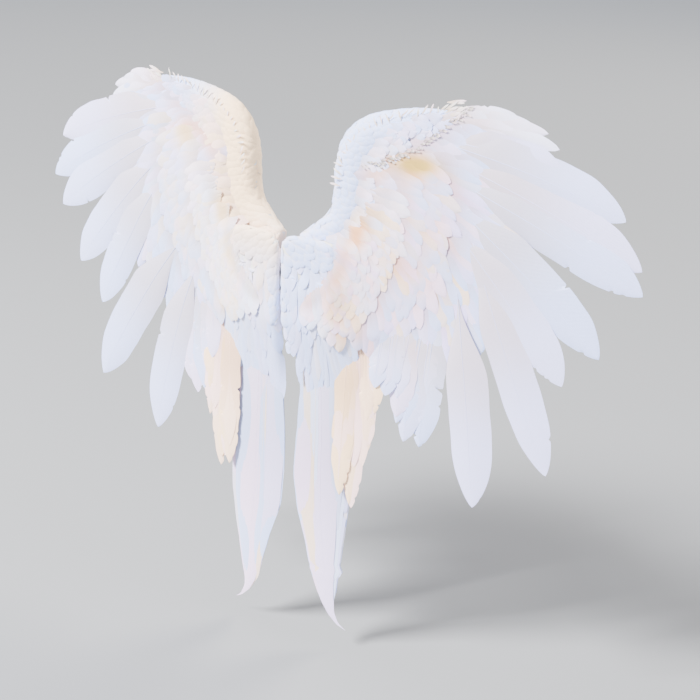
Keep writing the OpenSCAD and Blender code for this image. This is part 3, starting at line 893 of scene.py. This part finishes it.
def plume(wing, rng):
    """The hanging plume: long narrow feathers that follow the two edges of the CAD plume."""
    node = "plume_" + wing.side
    points = wing.to_wing(mesh_points(frame["nodes"][node]))
    top, low = points[:, 1].max() - 0.002, points[:, 1].min() + 0.0015
    levels = np.linspace(top, low, 60)
    edges = outline(node, wing, levels)
    middle, wide = edges.mean(axis=1), edges[:, 1] - edges[:, 0] + PLUME_EXTRA
    wide[-8:] *= np.linspace(1, 0.35, 8)
    wide[:8] = np.maximum(wide[:8], wide[8])
    plumage = Plumage()
    for k in sorted(range(PLUME_FEATHERS), key=lambda k: -abs(2 * k / (PLUME_FEATHERS - 1) - 1)):
        across = 2 * k / (PLUME_FEATHERS - 1) - 1
        reach = 1 - 0.10 * across**2 - 0.05 * rng.random() * (across != 0)
        used = max(int(len(levels) * reach), 12)
        place = middle + wide * 0.36 * across
        line = np.stack([place, levels], 1)[:used]
        halves = np.minimum(wide * (0.5 - 0.36 * abs(across)), wide * 0.3)[:used]
        halves = np.maximum(halves, 0.002)
        lift = 0.009 + 0.006 * (1 - abs(across))
        shape = {"line": line, "halves": halves}
        drift_by = min(1.3 * (1 - abs(across)), 1.0)
        streak = dict(PLUME, drift=(PINKISH, CREAM, WHITE)[k % 3], drift_by=drift_by)
        feather(plumage, shape, rng, streak, (lift - 0.012, lift + 0.004), behind_core)
    piece = plumage.build("plume_feathers_" + wing.side, wing)
    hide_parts(node)


def covert_feathers(wing, rng, node, kind, surface, lift, face=1, inner=()):
    """Courses of coverts: the CAD courses, twice as dense, and one more between each two."""
    # On the left wing the painted shade at the covert bases is cream, not peach
    if not wing.right and kind["root_tone"] == PEACH:
        kind = dict(kind, root_tone=CREAM)
    kind = dict(kind, ochre=1.0 if wing.right else 0.15)
    name = f"{node.split('_')[0]}_feathers_{wing.side}"
    node += "_" + wing.side
    rows = cad_rows(node, wing)
    count = 2 * max(len(row) for row in rows) - 1
    rows = [resampled(row, count) for row in rows]
    courses = [rows[0]]
    for row, following in zip(rows, rows[1:]):
        courses += [[mixed(a, b, 0.5) for a, b in zip(row, following)], following]
    for step in inner:
        courses.append([mixed(a, b, 1 + step) for a, b in zip(rows[-2], rows[-1])])
    plumage = Plumage()
    for course in courses:
        for shape in course:
            way = shape["tip"] - shape["base"]
            turn = rng.normal(0, 0.05)
            turned = way[0] * heading(turn) + way[1] * heading(turn + math.pi / 2)
            shape = dict(shape, tip=shape["base"] + turned * rng.uniform(0.86, 1.14))
            drift = (PINKISH, CREAM, COOL, LILAC)[rng.integers(4)]
            tinted = dict(kind, drift=drift, drift_by=0.8 if wing.right else 0.5)
            feather(plumage, shape, rng, tinted, lift, surface, face)
    piece = plumage.build(name, wing)
    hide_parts(node)


def marginal_feathers(wing, rng, relief):
    """A row of small feathers that hides the seam between the padded edge and the coverts."""
    node = "marginal_coverts_" + wing.side
    shapes = sorted(cad_feathers(node, wing), key=lambda f: f["base"][1])
    plumage = Plumage()
    for row in range(3):
        for shape in resampled(shapes, (len(shapes) - 1) * 3 + 1):
            angle = flow_angle(shape["base"]) + rng.normal(0, 0.10)
            way = heading(angle)
            base = shape["base"] + way * (0.004 + 0.014 * (2 - row)) + rng.normal(0, 0.004, 2)
            shape = strip(base, base + way * rng.uniform(0.042, 0.060), 0.022)
            kind = dict(MARGINAL, tone=edge_tone_and_shade(wing, base[0] + 0.01, base[1]))
            feather(plumage, shape, rng, kind, (-0.002 - relief.gap_at(base), 0.0018), relief)
    piece = plumage.build("marginal_feathers_" + wing.side, wing)
    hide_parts(node)


def root_feathers(wing, rng, relief):
    """Rows of feathers that flow down from the root over the base of the plume."""
    plumage = Plumage()
    for row, v in enumerate((-0.185, -0.160, -0.135, -0.110, -0.085, -0.060, -0.035, -0.010)):
        for u in np.linspace(0.012, 0.122, 11) + 0.005 * (row % 2):
            angle = math.radians(-91 + 150 * (u - 0.03) * (u > 0.03) + rng.normal(0, 3)
                                 + 30 * max(v + 0.06, 0) / 0.05 * (u > 0.05))
            way = heading(angle)
            base = np.array((u, v + rng.normal(0, 0.004)))
            length = rng.uniform(0.6, 1.25) * np.interp(row, (0, 3, 7), (0.165, 0.130, 0.080))
            if wing.right:
                length = min(length, max(base[1] + 0.19 + 5 * max(base[0] - 0.022, 0), 0.03))
            shape = strip(base, base + way * length, rng.uniform(0.014, 0.021),
                          rng.uniform(-0.004, 0.004))
            warm = 0.5 * rng.random() * (u > 0.06) * (v < -0.08)
            kind = dict(ROOT, drift=CREAM if warm else PINKISH, drift_by=max(warm, 0.25),
                        tone=edge_tone_and_shade(wing, *base))
            feather(plumage, shape, rng, kind, (-0.002, 0.0010), relief)
    piece = plumage.build("root_feathers_" + wing.side, wing)


DARK_LINE = [(0.338, 0.262), (0.29, 0.222), (0.24, 0.182), (0.19, 0.160), (0.15, 0.148)]
WRIST_LINE = [(0.150, 0.130), (0.185, 0.150), (0.225, 0.172), (0.265, 0.198), (0.305, 0.228)]
CREST = {"right": (0.332, 0.264), "left": (0.344, 0.256)}
EDGE_SPIKES = [(0.098, 0.11), (0.106, 0.16), (0.135, 0.2), (0.18, 0.232), (0.24, 0.25), (0.30, 0.262)]


def wrist_rank(plumage, rng, base, angle, starts, reach, width, bow, *how):
    """A few feathers behind one another, all pointing one way from a place on the wrist."""
    way = heading(angle)
    for start in starts:
        tip = base + way * (start + rng.uniform(*reach))
        feather(plumage, strip(base + way * start, tip, width, bow), rng, *how)


def tufts(wing, rng, relief):
    """Spiky tufts at the crest, sparse ones along the silhouette, and a line of small dark tufts on the
    right wing whose dark colour is partly feather bases and partly painted shadow.
    """
    plumage = Plumage()
    crest = np.array(CREST[wing.side])
    size = {"right": (1.0, 1.0), "left": (0.72, 1.15)}[wing.side]
    for reach, drop, width in ((0.165, -0.052, 0.034), (0.150, -0.030, 0.030), (0.120, -0.018, 0.028),
                               (0.090, -0.006, 0.026), (0.110, -0.040, 0.030), (0.075, -0.020, 0.024)):
        base = crest + np.array((-0.045, -0.022))
        tip = crest + np.array((reach, drop)) * size * rng.uniform(0.96, 1.02)
        feather(plumage, strip(base, tip, width, 0.006), rng, dict(GREATER, tone=WHITE), (0.0, 0.002),
                relief)
    seam_kind = dict(GREATER, profile=scale_profile, ochre=1.0 if wing.right else 0.0)
    for base in along(WRIST_LINE, 0.009):
        angle = math.radians(np.interp(base[0], (0.15, 0.33), (-16, -6)) + rng.normal(0, 2.5))
        wrist_rank(plumage, rng, base, angle, (0.04, 0.01, -0.018), (0.085, 0.125), 0.032, 0.004,
                   seam_kind, (-0.002, 0.0025), relief)
    for base in along(WRIST_LINE, 0.008):
        wrist_rank(plumage, rng, base, math.radians(rng.uniform(-34, -16)), (-0.020, 0.006, 0.032),
                   (0.070, 0.095), 0.030, 0.0, GREATER, (0.0005, 0.0035), before_core, -1)
    for _ in range(14):
        way = heading(rng.uniform(0.0, 0.9))
        base = crest + rng.normal(0, 0.006, 2) - way * 0.03
        tip = base + way * rng.uniform(0.026, 0.042)
        tip[1] = min(tip[1], 0.277)
        shape = strip(base, tip, rng.uniform(0.003, 0.006))
        feather(plumage, shape, rng, TUFT, (0.0, rng.uniform(0.001, 0.005)), relief)
    for base in along(EDGE_SPIKES, 0.012):
        angle = math.atan2(base[1] - 0.08, base[0] - 0.2) + rng.uniform(-0.9, 0.5)
        way = heading(angle)
        shape = strip(base - way * 0.012, base + way * rng.uniform(0.002, 0.010),
                      rng.uniform(0.002, 0.004))
        feather(plumage, shape, rng, TUFT, (0.0, 0.001), relief)
    # Small grey-brown tufts along a line: their dark colour is partly dark feather bases and partly
    # painted shadow
    for base in along(DARK_LINE, 0.0036) if wing.right else ():
        way = heading(rng.uniform(-0.6, 0.7))
        base = base + rng.normal(0, 0.002, 2)
        shape = strip(base, base + way * rng.uniform(0.007, 0.014), rng.uniform(0.0025, 0.0045))
        feather(plumage, shape, rng, DARK_TUFT, (0.002, 0.004), relief)
    piece = plumage.build("tuft_feathers_" + wing.side, wing)


def along(corners, step):
    """Points at even steps along a line of corners."""
    corners = np.array(corners)
    reach = course(corners)
    places = np.arange(0, reach[-1], step)
    return np.stack([np.interp(places, reach, corners[:, k]) for k in (0, 1)], 1)


def core_cushion(wing, relief):
    """The foam core in its lining, domed on the rear so that it fills the space under the coverts."""
    node = "wing_core_" + wing.side
    piece = remeshed(joined_copy("core_cushion_" + wing.side, [node]), 5 * MM, 4)
    places = wing.to_wing(mesh_points(piece))
    rear = places[:, 2] > 4 * MM
    dome = np.maximum(relief(places[:, 0], places[:, 1]) - 14 * MM, 0)
    places[rear, 2] += np.minimum(dome, 20 * MM)[rear]
    set_mesh_points(piece, wing.to_row(places))
    dress(piece, LINING)
    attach(piece, wing.body)
    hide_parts(node)


def make_wing(side):
    wing = WINGS[side]
    rng = np.random.default_rng(11 if side == "right" else 12)
    shell = edge_shell(wing)
    bpy.context.view_layer.update()
    relief = Relief(wing, shell)
    core_cushion(wing, relief)
    edge_feathers(wing, shell, relief, rng)
    single_feathers(wing, rng)
    bundle(wing, rng, "secondaries", "secondary", SECONDARY, 3, (0.009, 0.015))
    bundle(wing, rng, "tertials", "tertial", TERTIAL, 5, (0.014, 0.023))
    plume(wing, rng)
    covert_feathers(wing, rng, "greater_coverts", GREATER, relief, (0.0, 0.004))
    covert_feathers(wing, rng, "median_coverts", MEDIAN, relief, (0.0, 0.0045))
    covert_feathers(wing, rng, "lesser_coverts", LESSER, relief, (0.0005, 0.0045))
    covert_feathers(wing, rng, "under_coverts", GREATER, before_core, (0.0005, 0.004), -1,
                    (0.45, 0.85, 1.2))
    root_feathers(wing, rng, relief)
    marginal_feathers(wing, rng, relief)
    tufts(wing, rng, relief)


# ---- the soft parts of the harness ----


def swollen(piece, cap):
    """Fills a closed piece like a cushion with cloth, no point moving farther than cap."""
    start = mesh_points(piece)
    cloth = piece.modifiers.new("fill", "CLOTH")
    cloth.settings.use_pressure = True
    cloth.settings.uniform_pressure_force = FILL_PRESSURE
    cloth.settings.effector_weights.gravity = 0
    cloth.settings.quality = 6
    cloth.point_cache.frame_start = 1
    cloth.point_cache.frame_end = FILL_FRAMES
    for number in range(1, FILL_FRAMES + 1):
        bpy.context.scene.frame_set(number)
    apply_modifiers(piece)
    bpy.context.scene.frame_set(1)
    moved = mesh_points(piece) - start
    far = np.linalg.norm(moved, axis=1, keepdims=True)
    set_mesh_points(piece, start + moved * np.minimum(1, cap / np.maximum(far, 1e-9)))
    smoother = piece.modifiers.new("smoother", "SUBSURF")
    smoother.levels = smoother.render_levels = 1
    apply_modifiers(piece)


def sewn(piece, distance, depth, width):
    """Presses a seam into a piece, along the places where distance(points) is zero."""
    normals = read(piece.data.vertices, "normal")
    points = mesh_points(piece)
    press = depth * np.exp(-((distance(points) / width) ** 2))
    set_mesh_points(piece, points - normals * press[:, None])


def soft_piece(node, name, voxel, cap, keep):
    """A CAD pad as a filled cushion, kept inside the box of its CAD solid."""
    low, high = (np.array(corner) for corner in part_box(node))
    piece = remeshed(joined_copy(name, [node]), voxel, 3)
    middle = (low + high) / 2
    points = mesh_points(piece)
    set_mesh_points(piece, middle + (points - middle) * keep)
    swollen(piece, cap)
    set_mesh_points(piece, np.clip(mesh_points(piece), low, high))
    return piece, low, high


def finish_soft(piece, node):
    dress(piece, PAD_CLOTH)
    piece.data.shade_smooth()
    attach(piece, "harness")
    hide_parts(node)


def piping(name, line, radius):
    """A closed cord of cloth along a loop of points."""
    data = bpy.data.curves.new(name, "CURVE")
    data.dimensions = "3D"
    data.bevel_depth = radius
    data.bevel_resolution = 3
    spline = data.splines.new("POLY")
    spline.points.add(len(line) - 1)
    spline.points.foreach_set("co", np.column_stack([line, np.ones(len(line))]).reshape(-1))
    spline.use_cyclic_u = True
    data.materials.append(WEBBING)
    cord = added(name, data)
    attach(cord, "harness")


def rounded_loop(low, high, y, radius):
    corners = [(high[0] - radius, high[2] - radius, 0), (low[0] + radius, high[2] - radius, 90),
               (low[0] + radius, low[2] + radius, 180), (high[0] - radius, low[2] + radius, 270)]
    return np.array([(x + radius * math.cos(math.radians(turn + a)), y,
                      z + radius * math.sin(math.radians(turn + a)))
                     for x, z, turn in corners for a in range(0, 91, 15)])


def harness():
    pad, low, high = soft_piece("back_pad", "padded_back", 5 * MM, 6 * MM, (0.99, 0.86, 0.985))
    sewn(pad, lambda p: np.minimum(np.abs(np.abs(p[:, 0]) - 0.030), 0.02), 2.5 * MM, 2.2 * MM)
    sewn(pad, lambda p: np.where(np.abs(p[:, 0]) < 0.030, np.abs(np.abs(p[:, 2]) - 0.015), 0.02),
         1.8 * MM, 2 * MM)
    finish_soft(pad, "back_pad")
    piping("pad_piping", rounded_loop(low + 0.0015, high - 0.0015, (low[1] + high[1]) / 2, 0.014), 0.0017)
    for side in SIDES:
        node = "shoulder_pad_" + side
        sleeve, low, high = soft_piece(node, "padded_shoulder_" + side, 3 * MM, 3 * MM, (0.97, 0.99, 0.97))
        start = low[1] + 0.012
        sewn(sleeve, lambda p: (p[:, 1] - start + 0.011) % 0.022 - 0.011, 1.6 * MM, 1.8 * MM)
        finish_soft(sleeve, node)


# ---- stage ----


def camera():
    azimuth, height = math.radians(CAMERA_AZIMUTH), math.radians(CAMERA_HEIGHT)
    back = Vector((math.sin(azimuth) * math.cos(height), -math.cos(azimuth) * math.cos(height),
                   math.sin(height)))
    target = Vector(NOTCH) + Vector(CAMERA_TARGET)
    data = bpy.data.cameras.new("camera")
    data.angle = math.radians(CAMERA_FOV)
    data.clip_end = 50
    viewer = added("camera", data)
    viewer.location = target + back * CAMERA_DISTANCE
    viewer.rotation_euler = back.to_track_quat("Z", "Y").to_matrix().to_euler()
    viewer.rotation_euler.rotate_axis("Z", math.radians(CAMERA_ROLL))
    bpy.context.scene.camera = viewer


def floor():
    low = min(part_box("plume_" + side)[0].z for side in SIDES) - 0.03
    size = 40.0
    mesh = bpy.data.meshes.new("floor")
    mesh.from_pydata([(-size, -size, low), (size, -size, low), (size, size, low), (-size, size, low)],
                     [], [(0, 1, 2, 3)])
    mesh.materials.append(floor_material())
    added("floor", mesh)


def area_light(name, place, aim, size, power, colour=(1, 1, 1)):
    data = bpy.data.lights.new(name, "AREA")
    data.size = size
    data.energy = power
    data.color = colour
    lamp = added(name, data)
    lamp.location = place
    lamp.rotation_euler = (Vector(place) - Vector(aim)).to_track_quat("Z", "Y").to_euler()


def lights():
    aim = Vector(NOTCH) + Vector((0, 0, -0.2))
    area_light("key", (-3.6, -4.4, 5.4), aim, 2.2, 3900)
    area_light("fill", (6.4, -5.2, 1.6), aim, 4.8, 800, (0.84, 0.90, 1.0))
    area_light("rim", (1.6, 5.4, 6.0), aim, 3.6, 1300, (1.0, 0.95, 0.88))
    world = bpy.data.worlds.new("studio")
    world.use_nodes = True
    world.node_tree.nodes["Background"].inputs["Color"].default_value = (0.86, 0.91, 1.0, 1)
    world.node_tree.nodes["Background"].inputs["Strength"].default_value = 0.6
    bpy.context.scene.world = world


camera()
dress_cad_nodes()
harness()
for wing_side in SIDES:
    make_wing(wing_side)
floor()
lights()
